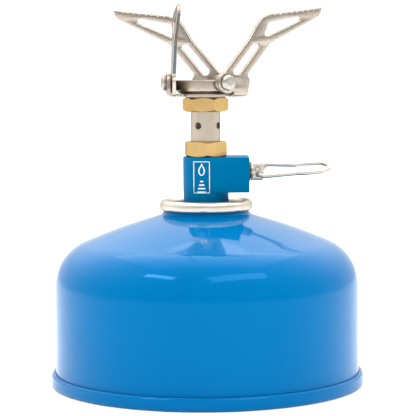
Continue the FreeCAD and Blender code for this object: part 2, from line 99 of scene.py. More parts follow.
def arc(centre, radius, start, end, parts):
    """Points along an arc, both ends included."""
    turns = [start + (end - start) * k / parts for k in range(parts + 1)]
    return [(centre[0] + x, centre[1] + y) for x, y in (polar(radius, turn) for turn in turns)]


def circle(radius, parts=40):
    """Points round a circle about the origin."""
    return arc((0, 0), radius, 0, 360, parts)[:-1]


def mark_sharp(bm, degrees):
    """Smooth faces, with the edges sharper than the angle kept crisp."""
    limit = math.radians(degrees)
    for face in bm.faces:
        face.smooth = True
    for edge in bm.edges:
        if len(edge.link_faces) == 2 and edge.calc_face_angle(0) > limit:
            edge.smooth = False


def new_object(name, bm, sharp=32.0):
    """Object in the scene from a bmesh."""
    bmesh.ops.recalc_face_normals(bm, faces=bm.faces)
    mark_sharp(bm, sharp)
    mesh = bpy.data.meshes.new(name)
    bm.to_mesh(mesh)
    bm.free()
    obj = bpy.data.objects.new(name, mesh)
    scene.collection.objects.link(obj)
    return obj


def skin(bm, rings, closed=False):
    """Faces between successive rings of vertices, each ring joined to its own start."""
    pairs = list(zip(rings, rings[1:]))
    if closed:
        pairs.append((rings[-1], rings[0]))
    for low, high in pairs:
        for k in range(len(low)):
            j = (k + 1) % len(low)
            corners = list(dict.fromkeys((low[k], low[j], high[j], high[k])))
            if len(corners) > 2:
                bm.faces.new(corners)


def turned(name, section, segments=160, closed=True, place=None, sharp=32.0):
    """Turned solid about Z. section is its (radius, height) outline, or a function of the angle giving it."""
    turns = [2 * math.pi * k / segments for k in range(segments)]
    sections = [section(a) if callable(section) else section for a in turns]
    bm = bmesh.new()
    rings = []
    for row in range(len(sections[0])):
        if sections[0][row][0] < 1e-6:
            rings.append([bm.verts.new((0, 0, sections[0][row][1] * MM))] * segments)
            continue
        ring = []
        for a, points in zip(turns, sections):
            r, z = points[row]
            ring.append(bm.verts.new((r * math.cos(a) * MM, r * math.sin(a) * MM, z * MM)))
        rings.append(ring)
    skin(bm, rings, closed)
    if place is not None:
        bmesh.ops.transform(bm, matrix=place, verts=bm.verts)
    return new_object(name, bm, sharp)


def evaluated_mesh(obj):
    """New mesh of an object as it is shown, modifiers and curve fills included."""
    bpy.context.view_layer.update()
    shown = obj.evaluated_get(bpy.context.evaluated_depsgraph_get())
    return bpy.data.meshes.new_from_object(shown)


def sheet(name, outline, holes, thick, edge, place):
    """Sheet metal piece from an outline and holes, its edges rounded by the edge radius."""
    curve = bpy.data.curves.new(name, "CURVE")
    curve.dimensions = "2D"
    curve.fill_mode = "BOTH"
    curve.extrude = (thick / 2 - edge) * MM
    curve.bevel_depth = edge * MM
    curve.bevel_resolution = 2
    curve.offset = -edge * MM
    for points in [outline] + holes:
        spline = curve.splines.new("POLY")
        spline.points.add(len(points) - 1)
        for point, (x, y) in zip(spline.points, points):
            point.co = (x * MM, y * MM, 0, 1)
        spline.use_cyclic_u = True
    drawn = bpy.data.objects.new(name + "_curve", curve)
    scene.collection.objects.link(drawn)
    mesh = evaluated_mesh(drawn)
    bpy.data.objects.remove(drawn)
    bpy.data.curves.remove(curve)
    mesh.transform(place)
    bm = bmesh.new()
    bm.from_mesh(mesh)
    bpy.data.meshes.remove(mesh)
    bmesh.ops.remove_doubles(bm, verts=bm.verts, dist=0.5e-6)
    return new_object(name, bm, 40.0)


def wire(name, path, radius, sides=20):
    """Round wire with flat ends along a list of points."""
    bm = bmesh.new()
    rings = []
    normal = (path[1] - path[0]).orthogonal().normalized()
    last = len(path) - 1
    for i, point in enumerate(path):
        ahead = (path[min(i + 1, last)] - path[max(i - 1, 0)]).normalized()
        normal = (normal - ahead * normal.dot(ahead)).normalized()
        other = ahead.cross(normal)
        rim = [normal * x + other * y for x, y in circle(radius, sides)]
        rings.append([bm.verts.new((point + spoke) * MM) for spoke in rim])
    skin(bm, rings)
    bm.faces.new(rings[0])
    bm.faces.new(rings[-1])
    return new_object(name, bm, 50)


def bend_path(points):
    """Path through (x, y, z, radius) points, its inner corners rounded to their radius."""
    out = [Vector(points[0][:3])]
    for before, corner, after in zip(points, points[1:], points[2:]):
        here = Vector(corner[:3])
        radius = corner[3]
        a = (Vector(before[:3]) - here).normalized()
        b = (Vector(after[:3]) - here).normalized()
        half = a.angle(b) / 2
        back = radius / math.tan(half)
        centre = here + (a + b).normalized() * (radius / math.sin(half))
        start = (here + a * back - centre).normalized()
        end = (here + b * back - centre).normalized()
        for k in range(9):
            out.append(centre + start.slerp(end, k / 8) * radius)
    out.append(Vector(points[-1][:3]))
    return out


def join(obj, others):
    """Adds the meshes of other objects to an object and removes those."""
    bm = bmesh.new()
    for part in [obj] + others:
        bm.from_mesh(part.data)
    bm.to_mesh(obj.data)
    bm.free()
    for part in others:
        bpy.data.objects.remove(part)
    return obj


def cut(obj, tools):
    """Cuts tools out of an object, and removes them."""
    for tool in tools:
        mod = obj.modifiers.new("cut", "BOOLEAN")
        mod.operation = "DIFFERENCE"
        mod.solver = "EXACT"
        mod.object = tool
    obj_mesh = evaluated_mesh(obj)
    obj.modifiers.clear()
    obj.data = obj_mesh
    for tool in tools:
        bpy.data.objects.remove(tool)
    bm = bmesh.new()
    bm.from_mesh(obj_mesh)
    for edge in bm.edges:
        edge.smooth = True
    mark_sharp(bm, 30)
    bm.to_mesh(obj_mesh)
    bm.free()
    return obj


def soften(obj, width=0.1, segments=2):
    """Small rounded edges on a CAD node."""
    mod = obj.modifiers.new("bevel", "BEVEL")
    mod.width = width * MM
    mod.segments = segments
    mod.limit_method = "ANGLE"
    mod.angle_limit = math.radians(30)
    mod.harden_normals = True
    return obj


def outward(turn, depth):
    """Matrix that takes (along, up, outward) from a pot support's rivet to the frame, depth from the axis."""
    x, y = polar(1, turn)
    along = Vector((x, y, 0))
    up = Vector((0, 0, 1))
    out = Vector((y, -x, 0))
    place = Matrix((along, up, out)).transposed().to_4x4()
    place.translation = (out * depth + up * PIVOT_H) * MM
    return place


# ---------------------------------------------------------------- materials

def new_material(name):
    """Material, its node tree and its shader."""
    mat = bpy.data.materials.new(name)
    mat.use_nodes = True
    return mat, mat.node_tree, mat.node_tree.nodes["Principled BSDF"]


def add(tree, kind, **values):
    """Node with its properties or sockets set; a socket's name has _ for each space."""
    node = tree.nodes.new(kind)
    for key, value in values.items():
        if hasattr(node, key):
            setattr(node, key, value)
        else:
            node.inputs[key.replace("_", " ")].default_value = value
    return node


def coords(tree, scale=(1, 1, 1)):
    """Object coordinates, stretched by scale."""
    tex = add(tree, "ShaderNodeTexCoord")
    mapping = add(tree, "ShaderNodeMapping", Scale=scale)
    tree.links.new(tex.outputs["Object"], mapping.inputs["Vector"])
    return mapping.outputs["Vector"]


def axis(tree, space, name):
    """One coordinate, X, Y or Z, of a texture coordinate."""
    tex = add(tree, "ShaderNodeTexCoord")
    split = add(tree, "ShaderNodeSeparateXYZ")
    tree.links.new(tex.outputs[space], split.inputs["Vector"])
    return split.outputs[name]


def noise_at(tree, vector, scale, detail=3.0, rough=0.5):
    """Noise from 0 to 1; scale is its cells per metre."""
    node = add(tree, "ShaderNodeTexNoise", Scale=scale, Detail=detail, Roughness=rough)
    tree.links.new(vector, node.inputs["Vector"])
    return node.outputs["Fac"]


def ramp(tree, value, stops):
    """Colour ramp from (position, colour) stops."""
    node = add(tree, "ShaderNodeValToRGB")
    elements = node.color_ramp.elements
    while len(elements) < len(stops):
        elements.new(0.5)
    for element, (position, colour) in zip(elements, stops):
        element.position = position
        element.color = (*colour, 1)
    tree.links.new(value, node.inputs["Fac"])
    return node.outputs["Color"]


def span(tree, value, low, high, start=0.0, end=1.0):
    """Value taken from low..high to start..end, and held at the ends."""
    node = add(tree, "ShaderNodeMapRange", From_Min=low, From_Max=high, To_Min=start, To_Max=end)
    tree.links.new(value, node.inputs["Value"])
    return node.outputs["Result"]


def math_of(tree, operation, *values, use_clamp=False):
    """Math node on sockets and numbers."""
    node = add(tree, "ShaderNodeMath", operation=operation, use_clamp=use_clamp)
    for socket, value in zip(node.inputs, values):
        if isinstance(value, bpy.types.NodeSocket):
            tree.links.new(value, socket)
        else:
            socket.default_value = value
    return node.outputs[0]


def mix(tree, factor, a, b, blend="MIX"):
    """Mix of two colours, each a socket or an RGB tuple; the factor is a socket or a number."""
    node = add(tree, "ShaderNodeMix", data_type="RGBA", blend_type=blend)
    # the colour sockets of this node: factor 0, A 6, B 7 and result 2
    for socket, value in ((node.inputs[0], factor), (node.inputs[6], a), (node.inputs[7], b)):
        if isinstance(value, bpy.types.NodeSocket):
            tree.links.new(value, socket)
        else:
            socket.default_value = (*value, 1) if isinstance(value, tuple) else value
    return node.outputs[2]


def surface(tree, bsdf, colour, rough, height, strength, depth):
    """Links a surface's colour, roughness and bump; depth is the bump's, in mm."""
    tree.links.new(colour, bsdf.inputs["Base Color"])
    tree.links.new(rough, bsdf.inputs["Roughness"])
    node = add(tree, "ShaderNodeBump", Strength=strength, Distance=depth * MM)
    tree.links.new(height, node.inputs["Height"])
    tree.links.new(node.outputs["Normal"], bsdf.inputs["Normal"])


def metal(name, dark, light, rough, brush, grain, cloud, bump=0.1, metallic=1.0, stain=None, shine=0.5,
          edge=(0.42, 0.39, 0.36)):
    """Metal with fine brushing, cloudy tone and a little handling wear.

    Its colour runs from dark to light and its roughness over rough. brush squeezes the brushing along Z, and
    grain and cloud are the brushing's and the tone's cells per metre. stain tints the handled spots. shine
    and edge are the reflection's strength and its tint at grazing angles.
    """
    mat, tree, bsdf = new_material(name)
    bsdf.inputs["Metallic"].default_value = metallic
    bsdf.inputs["Specular IOR Level"].default_value = shine
    bsdf.inputs["Specular Tint"].default_value = (*edge, 1)
    fine = noise_at(tree, coords(tree, (1, 1, brush)), grain, 4.0, 0.6)
    tone = noise_at(tree, coords(tree), cloud, 3.0, 0.55)
    smear = noise_at(tree, coords(tree), cloud * 5.5, 2.0, 0.5)
    streak = ramp(tree, fine, [(0.25, (0.86, 0.86, 0.86)), (0.75, (1.0, 1.0, 1.0))])
    colour = mix(tree, 0.8, ramp(tree, tone, [(0.3, dark), (0.7, light)]), streak, "MULTIPLY")
    if stain is not None:
        colour = mix(tree, span(tree, smear, 0.52, 0.72), colour, stain)
    brushed = math_of(tree, "MULTIPLY_ADD", fine, rough[1] - rough[0], rough[0])
    worn = math_of(tree, "MULTIPLY_ADD", smear, 0.10, brushed, use_clamp=True)
    surface(tree, bsdf, colour, worn, fine, bump, 0.04)
    return mat


def plain(name, dark, light, stops, rough, scale, fine, strength, depth):
    """Rubber, plastic or ink: one noise drives its tone, its roughness and its bump."""
    mat, tree, bsdf = new_material(name)
    grain = noise_at(tree, coords(tree), scale, 3.0, fine)
    colour = ramp(tree, grain, [(stops[0], dark), (stops[1], light)])
    surface(tree, bsdf, colour, span(tree, grain, 0.2, 0.8, *rough), grain, strength, depth)
    return mat


def blue_paint():
    """Blue gloss enamel with faint orange peel, worn a little at the foot of the can."""
    mat, tree, bsdf = new_material("canister_gloss_blue")
    bsdf.inputs["IOR"].default_value = 1.36
    bsdf.inputs["Specular Tint"].default_value = (0.10, 0.40, 0.9, 1)
    peel = noise_at(tree, coords(tree), 420.0, 2.0, 0.45)
    tone = noise_at(tree, coords(tree), 26.0, 2.0, 0.5)
    base = ramp(tree, tone, [(0.3, (0.0, 0.152, 0.395)), (0.7, (0.0, 0.163, 0.415))])
    scuff = noise_at(tree, coords(tree, (1, 1, 3.5)), 900.0, 5.0, 0.65)
    foot = span(tree, axis(tree, "Object", "Z"), 3.5 * MM, 0.0)
    worn = math_of(tree, "MULTIPLY", foot, span(tree, scuff, 0.56, 0.70))
    colour = mix(tree, worn, base, (0.03, 0.19, 0.42))
    surface(tree, bsdf, colour, span(tree, scuff, 0.35, 0.8, 0.045, 0.11), peel, 0.05, 0.12)
    return mat


PAINT = blue_paint()
TIN = metal("crimp_tinplate", (0.78, 0.705, 0.605), (0.85, 0.785, 0.685), rough=(0.24, 0.32), brush=10,
            grain=500.0, cloud=60.0, bump=0.05, metallic=0.8, stain=(0.78, 0.68, 0.52))
BLUE_ALLOY = metal("anodised_blue", (0.0, 0.160, 0.355), (0.0, 0.180, 0.395), rough=(0.36, 0.48), brush=14,
                   grain=800.0, cloud=60.0, bump=0.08, metallic=0.18, shine=0.10, edge=(0.0, 0.4, 0.8))
BRASS = metal("nut_brass", (0.64, 0.43, 0.165), (0.73, 0.495, 0.21), rough=(0.22, 0.34), brush=9,
              grain=1100.0, cloud=150.0, stain=(0.64, 0.41, 0.16))
STEEL = metal("plate_steel", (0.51, 0.445, 0.37), (0.60, 0.53, 0.45), rough=(0.22, 0.34), brush=8,
              grain=1300.0, cloud=130.0, stain=(0.48, 0.415, 0.345))
TUBE_STEEL = metal("tube_steel", (0.53, 0.455, 0.365), (0.63, 0.555, 0.455), rough=(0.24, 0.36), brush=16,
                   grain=900.0, cloud=110.0, bump=0.14)
SATIN = metal("satin_steel", (0.56, 0.515, 0.455), (0.63, 0.58, 0.515), rough=(0.34, 0.42), brush=3,
              grain=900.0, cloud=160.0, bump=0.03)
WARM = metal("spindle_satin", (0.66, 0.585, 0.505), (0.74, 0.66, 0.575), rough=(0.32, 0.40), brush=3,
             grain=900.0, cloud=160.0, bump=0.03)
BRIGHT = metal("bright_steel", (0.56, 0.51, 0.46), (0.66, 0.61, 0.55), rough=(0.18, 0.26), brush=3,
               grain=900.0, cloud=120.0, bump=0.03)
DULL = metal("washer_steel", (0.34, 0.31, 0.28), (0.46, 0.42, 0.38), rough=(0.34, 0.48), brush=1,
             grain=1800.0, cloud=220.0, bump=0.15)
BRONZE = metal("sintered_bronze", (0.42, 0.26, 0.12), (0.58, 0.38, 0.20), rough=(0.5, 0.7), brush=1,
               grain=3000.0, cloud=400.0, bump=0.5)
RUBBER = plain("seal_rubber", (0.012, 0.012, 0.013), (0.035, 0.034, 0.033), stops=(0.3, 0.75),
               rough=(0.55, 0.8), scale=2600.0, fine=0.6, strength=0.25, depth=0.03)
ACETAL = plain("valve_acetal", (0.70, 0.69, 0.64), (0.80, 0.79, 0.75), stops=(0.3, 0.7),
               rough=(0.4, 0.55), scale=300.0, fine=0.5, strength=0.1, depth=0.03)
INK = plain("printed_white", (0.62, 0.76, 0.84), (0.86, 0.90, 0.92), stops=(0.28, 0.5),
            rough=(0.42, 0.6), scale=4200.0, fine=0.6, strength=0.1, depth=0.02)


def dress(obj, mat):
    """Gives an object one material."""
    obj.data.materials.clear()
    obj.data.materials.append(mat)
    return obj


def piece(obj, body, node, mat):
    """Gives a piece its material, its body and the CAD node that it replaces."""
    dress(obj, mat)
    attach(obj, body)
    if node:
        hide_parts(node)
    return obj


# ---------------------------------------------------------------- canister

CAN_LOW, CAN_TOP = levels("canister_shell")
CAN_R = 53.5
SHEET = 0.5
SHOULDER_R, SHOULDER_Z, SHOULDER_TURN = 17.0, 34.4, 69.5
CONE_FOOT, CONE_TOP = (42.45, 50.32), (18.6, 58.8)
CONE_CROWN = 0.42
CONE_SLOPE = math.radians(18.5)
NECK_R = 15.1
NECK_ROOT_R = 1.5


def can_side(inset, shoulder_parts):
    """The can's section from its foot to its lip, moved into the sheet by inset."""
    wall = CAN_R - inset
    drop = inset / math.cos(CONE_SLOPE)
    lip = NECK_R - inset
    root = CONE_TOP[1] - drop + (CONE_TOP[0] - lip) * math.tan(CONE_SLOPE)
    # rows along the straight wall, cone and neck keep their shading even
    side = [(wall, z) for z in (CAN_LOW + 0.1, 4.7, 12.0, 22.0, 30.0)]
    side += arc((CAN_R - SHOULDER_R, SHOULDER_Z), SHOULDER_R - inset, 0, SHOULDER_TURN, shoulder_parts)
    for k in range(1, 9):
        t = k / 9
        r = CONE_FOOT[0] + (CONE_TOP[0] - CONE_FOOT[0]) * t
        z = CONE_FOOT[1] + (CONE_TOP[1] - CONE_FOOT[1]) * t + CONE_CROWN * math.sin(math.pi * t)
        side.append((r, z - drop))
    cone_row = (17.5, root - (17.5 - lip) * math.tan(CONE_SLOPE))
    neck = [(CONE_TOP[0], CONE_TOP[1] - drop), cone_row, (lip, root, NECK_ROOT_R + inset), (lip, 62.3),
            (lip, CAN_TOP)]
    return side + rounded(neck, closed=False, steps=3)


def can_shell():
    """Drawn can: wall, round shoulder, shallow cone and neck."""
    section = can_side(0, 24) + can_side(SHEET, 12)[::-1]
    piece(turned("can_shell", section, 256, sharp=50), "canister", "canister_shell", PAINT)


DISH_R = 50.6
DISH_BALL = 179.0  # radius of the ball that the domed bottom is part of


def dish(top, parts=14):
    """Domed bottom with its middle at a height, from the middle out."""
    out = []
    for k in range(parts + 1):
        r = DISH_R * k / parts
        out.append((r, top - DISH_BALL + math.sqrt(DISH_BALL ** 2 - r * r)))
    return out


def can_base():
    """Domed bottom with the rolled seam that the can stands on."""
    seam = rounded([(53.62, 4.6), (54.35, 4.6, 0.3), (54.62, 4.35, 0.3), (54.98, 3.9, 0.5), (55.0, 0.75, 0.8),
                    (54.2, 0.0, 0.7), (52.85, 0.0, 0.6), (52.2, 0.8, 0.6), (52.2, 3.3, 1.2), (DISH_R, 4.2)],
                   closed=False)
    lap = [(51.4, 5.2), (52.88, 5.2), (52.88, 1.0), (53.62, 1.0)]
    section = seam + dish(11.5)[-2::-1] + dish(12.1) + lap
    piece(turned("can_base", section, 256, sharp=50), "canister", "canister_base", PAINT)


CRIMPS = 8
CRIMP_DEPTH = 0.22
BOSS_R, THREAD_DEPTH, THREAD_TURNS = 5.5, 0.28, 8


def cup_outline():
    """Valve cup's section: rolled ring, well, threaded boss, and back along the underside."""
    lip = [(15.25, 61.45), (15.6, 61.4), (16.0, 61.42), (16.18, 61.52), (16.28, 61.75), (16.3, 62.1)]
    wall = [(16.3, 62.5), (16.3, 63.0)]
    shoulder = [(14.65 + 1.65 * x, 63.1 + 1.7 * z) for x, z in arc((0, 0), 1, 0, 90, 8)[1:]]
    roll = arc((14.3, 63.4), 1.4, 90, 180, 8)
    well = [(12.9, 61.5), (12.9, 60.0), (12.82, 59.5), (12.6, 59.12), (12.2, 58.93), (11.7, 58.9),
            (8.5, 58.9), (6.9, 58.9), (6.2, 58.97), (5.72, 59.2), (BOSS_R, 59.6)]
    rows = THREAD_TURNS * 4
    thread = [(BOSS_R - THREAD_DEPTH * (k % 4 in (1, 2)), 59.9 + 5.4 * k / rows) for k in range(rows + 1)]
    top = [(5.45, 65.55), (5.0, 65.95), (4.4, 66.0), (1.9, 66.0), (1.9, 65.1), (4.3, 65.1)]
    underside = [(4.3, 58.4), (12.3, 58.4), (13.08, 58.72), (13.4, 59.5), (13.4, 63.4), (13.6, 63.9),
                 (14.1, 64.1), (14.9, 64.1), (15.25, 63.7)]
    return lip + wall + shoulder + roll + well + thread + top + underside


def valve_ring():
    """Crimped valve cup, with shallow crimp marks round the lower edge of its ring."""
    outline = cup_outline()
    crimp_top, crimp_height = 62.6, 1.2

    def section(a):
        """The outline at angle a, pressed in where a crimp mark is."""
        mark = CRIMP_DEPTH * max(0.0, math.cos(CRIMPS * a + 0.6)) ** 10
        return [(r - mark * (crimp_top - z) / crimp_height if r > 15.9 and z < crimp_top else r, z)
                for r, z in outline]

    piece(turned("valve_ring", section, 192, sharp=38), "canister", "valve_cup", TIN)


can_shell()
can_base()
valve_ring()


# ---------------------------------------------------------------- valve block

STUB_LOW, BLOCK_TOP = levels("valve_body")
BLOCK_LOW = 67.6
BLOCK_R = 8.0
BLOCK_END = 15.0
STUB_R = 7.9


def block_outline(grow):
    """The block from above: a round end on the column's axis, and a square end with small corners.

    The -Y corner is rounded towards the outline's far side, so the -Y face leans in 0.65 mm by that end.
    """
    r = BLOCK_R + grow
    end = BLOCK_END + grow
    square = rounded([(end, -r, 0.35), (end, r, 0.35), (0.0, r)], steps=4)[:-1]
    return square + arc((0, 0), r, 90, 270, 32)


def block_blank():
    """The block without its bore, its top and bottom edges eased."""
    bm = bmesh.new()
    edge = [(-0.28, 0.0), (-0.1, 0.06), (0.0, 0.24)]
    rows = [(grow, BLOCK_LOW + z) for grow, z in edge] + [(0.0, (BLOCK_LOW + BLOCK_TOP) / 2 - 0.05)]
    rows += [(grow, BLOCK_TOP - z) for grow, z in reversed(edge)]
    rings = [[bm.verts.new((x * MM, y * MM, z * MM)) for x, y in block_outline(grow)] for grow, z in rows]
    skin(bm, rings)
    bm.faces.new(rings[0])
    bm.faces.new(rings[-1])
    return new_object("valve_block", bm, 50.0)


def valve_block():
    """Block with the spindle's bore in its end, and the socketed stub below it."""
    inward = Matrix.Rotation(math.radians(-90), 4, "Y")
    bore = turned("bore", [(0, -2.0), (2.9, -2.0), (2.9, -0.3), (2.58, 0.02), (2.58, 11.0), (0.6, 11.0),
                           (0.6, 15.0), (0, 15.0)], 64,
                  place=Matrix.Translation((BLOCK_END * MM, 0, middle("spindle") * MM)) @ inward)
    block = cut(block_blank(), [bore])
    stub = turned("block_stub", rounded([
        (5.58, 66.9), (5.58, 61.95, 0.1), (6.25, STUB_LOW, 0.1), (7.45, STUB_LOW, 0.25),
        (STUB_R, 61.65, 0.25), (STUB_R, BLOCK_LOW + 0.15), (1.5, BLOCK_LOW + 0.15), (1.5, 66.9)]), 96)
    piece(join(block, [stub]), "stove", "valve_body", BLUE_ALLOY)


INK_LIFT = 0.03
INK_X = -1.6  # middle of the pictogram
FLAME_Z, FLAME_SIZE, FLAME_STROKE = 75.6, 2.3, 0.20
BAR_WIDTHS, BAR_Z, BAR_STEP, BAR_HEIGHT = (1.1, 1.8, 2.5, 3.2), 71.9, 1.25, 0.55
FRAME_X, FRAME_Z, FRAME_HALF = (-4.3, 1.1), (78.45, 67.6), 0.14
FLAME_RIGHT = [(0.0, 1.0), (0.16, 0.8), (0.1, 0.62), (0.3, 0.5), (0.44, 0.22), (0.5, -0.08), (0.46, -0.4),
               (0.3, -0.72), (0.0, -0.88)]
FLAME_LEFT = [(-0.02, 1.0), (-0.14, 0.7), (-0.34, 0.4), (-0.5, 0.05), (-0.52, -0.25), (-0.42, -0.58),
              (-0.22, -0.8), (0.0, -0.88)]


def on_block(x, z):
    """Point just off the block's face, following its round end and the stub below it."""
    r = (BLOCK_R if z > BLOCK_LOW else STUB_R) + INK_LIFT
    y = -r if x >= 0 else -math.sqrt(max(r * r - x * x, 0.0))
    return (x * MM, y * MM, z * MM)


def side_at(side, height):
    """Sideways place of an outline at a height."""
    for (x0, z0), (x1, z1) in zip(side, side[1:]):
        if z1 <= height <= z0:
            return x0 + (x1 - x0) * (height - z0) / (z1 - z0)
    return side[-1][0]


def flame_strips(parts=22):
    """Plain flame, drawn as two side strokes and a foot: strips of (left, right, height) rows."""
    left, right, foot = [], [], []
    for k in range(parts + 1):
        h = 1.0 - 1.88 * k / parts
        a, b = side_at(FLAME_LEFT, h), side_at(FLAME_RIGHT, h)
        stroke = min(FLAME_STROKE, (b - a) / 2)
        edges = [INK_X + x * FLAME_SIZE for x in (a, a + stroke, b - stroke, b)]
        z = FLAME_Z + h * FLAME_SIZE
        left.append((edges[0], edges[1], z))
        right.append((edges[2], edges[3], z))
        if h < -0.68:
            foot.append((edges[1], edges[2], z))
    return [left, right, foot]


def frame_strips():
    """Four bars and the thin frame round the pictogram."""
    strips = []
    for i, width in enumerate(BAR_WIDTHS):
        top = BAR_Z - BAR_STEP * i
        strips.append([(INK_X - width / 2, INK_X + width / 2, z) for z in (top, top - BAR_HEIGHT)])
    for x in FRAME_X:
        strips.append([(x - FRAME_HALF, x + FRAME_HALF, z) for z in (78.3, 71.0, 67.7)])
    for z in FRAME_Z:
        strips.append([(FRAME_X[0] - FRAME_HALF, FRAME_X[1] + FRAME_HALF, z + half)
                       for half in (FRAME_HALF, -FRAME_HALF)])
    return strips


def pictogram():
    """Printed flame over four bars, where the real block is printed."""
    cells = 6
    bm = bmesh.new()
    for strip in flame_strips() + frame_strips():
        lines = [[bm.verts.new(on_block(left + (right - left) * k / cells, z)) for k in range(cells + 1)]
                 for left, right, z in strip]
        for upper, lower in zip(lines, lines[1:]):
            for k in range(cells):
                bm.faces.new((upper[k], upper[k + 1], lower[k + 1], lower[k]))
    ink = new_object("printed_pictogram", bm, 80)
    mod = ink.modifiers.new("thick", "SOLIDIFY")
    mod.thickness = 0.02 * MM
    mod.offset = 1.0
    piece(ink, "stove", None, INK)


valve_block()
pictogram()


# ---------------------------------------------------------------- burner column

NUT_AF = 14.0  # across flats
NUT_CHAMFER = 0.75
TUBE_LOW, TUBE_TOP = levels("mixing_tube")
TUBE_R, TUBE_BORE = 5.15, 4.45
AIR_Z, AIR_R, AIR_TURN = 90.8, 1.2, 59.1


def hex_nut(name, node, low, high, turn, bore):
    """Brass hexagon nut with chamfer arcs; bore is its inside section from its top to its bottom."""
    flat = NUT_AF / 2
    rim = 0.97 * flat
    slope = NUT_CHAMFER / (flat / math.cos(math.radians(30)) - rim)
    soft = 0.06  # eased edge between chamfer and side

    def section(a):
        """Both chamfered ends and the side between them at angle a, then the bore."""
        side = flat / math.cos((a - math.radians(turn)) % math.radians(60) - math.radians(30))
        end = [(rim - 0.12, 0.0), (rim, 0.3 * soft), (side - soft, (side - soft - rim) * slope + 0.2 * soft),
               (side, (side - rim) * slope + soft)]
        return [(r, low + z) for r, z in end] + [(r, high - z) for r, z in reversed(end)] + bore

    piece(turned(name, section, 144, sharp=24), "stove", node, BRASS)


def nuts():
    """Jet holder on the block, and the nut under the bracket."""
    tail, top = levels("lower_nut")
    hex_nut("jet_nut", "lower_nut", BLOCK_TOP, top, 34.5, [
        (5.25, top), (5.2, top - 0.1), (5.2, 84.0), (2.05, 84.0), (2.05, 81.5), (1.5, 81.5), (1.5, tail),
        (3.6, tail), (3.6, BLOCK_TOP)])
    low, top = levels("upper_nut")
    hex_nut("head_nut", "upper_nut", low, top, 52.5, [(4.95, top), (4.95, 97.2), (5.2, 97.2), (5.2, low)])


def air_tube():
    """Mixing tube with two cross drillings, which make its four air holes."""
    outside = [(TUBE_R, z) for z in (TUBE_LOW, 86.0, AIR_Z, 95.6, TUBE_TOP)]
    inside = [(TUBE_BORE, z) for z in (TUBE_TOP, AIR_Z, TUBE_LOW)]
    tube = turned("air_tube", outside + inside, 128)
    drills = []
    for turn in (AIR_TURN, AIR_TURN + 90):
        aim = Matrix.Rotation(math.radians(turn), 4, "Z") @ Matrix.Rotation(math.radians(90), 4, "Y")
        drills.append(turned("drill", [(0, -10.0), (AIR_R, -10.0), (AIR_R, 10.0), (0, 10.0)], 40,
                             place=Matrix.Translation((0, 0, AIR_Z * MM)) @ aim))
    piece(cut(tube, drills), "stove", "mixing_tube", TUBE_STEEL)


def burner_bowl():
    """Round burner cup."""
    low, top = levels("burner_cup")
    bowl = turned("burner_bowl", rounded([
        (4.95, low), (9.35, low, 0.9), (10.25, low + 0.9, 0.9), (10.25, top - 0.15, 0.2), (10.12, top, 0.1),
        (9.55, top, 0.1), (9.55, 103.3, 0.5), (9.05, low + 0.6, 0.5), (4.95, low + 0.6)], steps=6), 160)
    piece(bowl, "stove", "burner_cup", STEEL)


nuts()
air_tube()
burner_bowl()


# ---------------------------------------------------------------- bracket, rivets, pot supports

ARM_TURNS = (33.5, 153.5, 273.5)
PIVOT_H = middle("rivet_1")
PLATE_LOW, PLATE_R, PLATE_T = levels("support_bracket")[0], 10.6, 1.0
EAR_R, EAR_T, EAR_DEPTH = 3.6, 1.2, 13.1
ROOT_START, ROOT_END = 2.9, 8.4
BEND_R = 1.5
ARM_T, ARM_DEPTH, ARM_EDGE = 1.3, 11.45, 0.26
ARM_EYE_R = 3.5
NOTCHES, NOTCH_DEPTH = 8, 0.42


def ear_outline():
    """Upright ear: a round eye at the rivet and a tab beside it; heights from the rivet."""
    eye = arc((0, 0), EAR_R, -56.44, -305.5, 32)
    return rounded([(ROOT_START, -3.75), (ROOT_START, -3.0, 0.15)] + eye + [
        (4.6, 2.7, 3.0), (7.6, 1.9, 1.6), (8.5, -1.4, 3.0), (8.42, -3.75)], steps=6)


def root_section():
    """Section of the bend from the plate up into an ear, as (outward, height)."""
    top = PLATE_LOW + PLATE_T
    bend = arc((12.2, PLATE_LOW + BEND_R), BEND_R, -90, -7.5, 11)
    inner = [(12.55, top + 0.31), (12.46, top + 0.15), (12.34, top + 0.04), (12.15, top)]
    return [(8.0, PLATE_LOW)] + bend + inner + [(8.0, top)]


def root_place(turn):
    """Matrix that takes (outward, height, back along) at the middle of an ear's root to the frame."""
    x, y = polar(1, turn)
    place = Matrix(((y, -x, 0), (0, 0, 1), (-x, -y, 0))).transposed().to_4x4()
    place.translation = Vector((x, y, 0)) * ((ROOT_START + ROOT_END) / 2 * MM)
    return place


def bracket():
    """Round plate with three ears, each bent up from its root."""
    top = PLATE_LOW + PLATE_T
    plate = turned("pot_bracket", rounded([
        (4.95, PLATE_LOW), (PLATE_R - 0.15, PLATE_LOW, 0.15), (PLATE_R, PLATE_LOW + 0.15, 0.12),
        (PLATE_R, top - 0.12, 0.12), (PLATE_R - 0.15, top, 0.15), (4.95, top)], steps=3), 128)
    parts = []
    for turn in ARM_TURNS:
        parts.append(sheet("ear", ear_outline(), [circle(1.52)], EAR_T, 0.2, outward(turn, EAR_DEPTH)))
        parts.append(sheet("root", root_section(), [], ROOT_END - ROOT_START, 0.12, root_place(turn)))
    piece(join(plate, parts), "stove", "support_bracket", STEEL)


